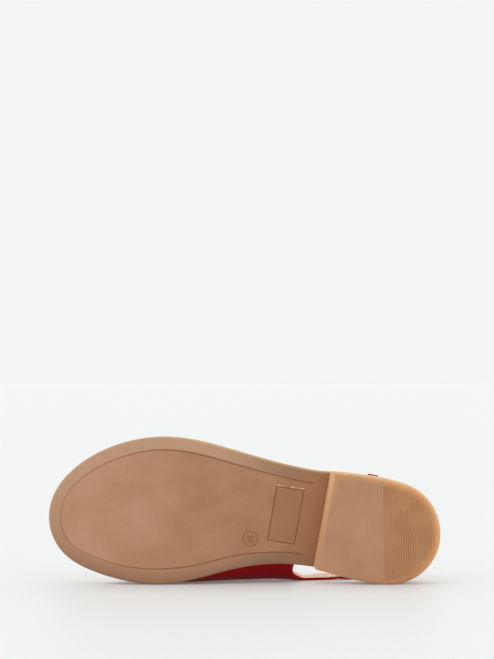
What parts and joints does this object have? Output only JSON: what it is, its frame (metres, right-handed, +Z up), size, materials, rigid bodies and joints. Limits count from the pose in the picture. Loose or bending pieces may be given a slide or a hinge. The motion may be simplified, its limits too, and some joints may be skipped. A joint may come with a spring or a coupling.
{
  "type": "slingback sandal",
  "caption": "Left-foot slingback sandal lying on its side: wide open-toed leather vamp, buckled heel strap, leather footbed, rubber sole and low block heel.",
  "frame": {"origin": "on the floor under the middle of the object's box, as the shoe lies on its medial side", "axes": "-X towards the toe, -Y out of the tread, +Z up, which is the shoe's lateral side"},
  "size_m": [0.255, 0.0742, 0.0959],
  "materials": {
    "sole_rubber": "moulded translucent crepe-coloured rubber, satin, with a moulded line round the tread",
    "heel_rubber": "moulded translucent amber rubber, satin, finely ribbed on the rear of its foot",
    "lining_leather": "smooth nude lining leather, matt",
    "upper_leather": "smooth red calf leather, satin, nude lining inside",
    "buckle_metal": "antique brass, polished and slightly dulled"
  },
  "bodies": {
    "root": {"outsole": "sole_rubber", "heel": "heel_rubber", "insole": "lining_leather", "upper": "upper_leather", "buckle_frame": "buckle_metal", "buckle_prong": "buckle_metal", "keeper_loop": "upper_leather"}
  },
  "joints": []
}
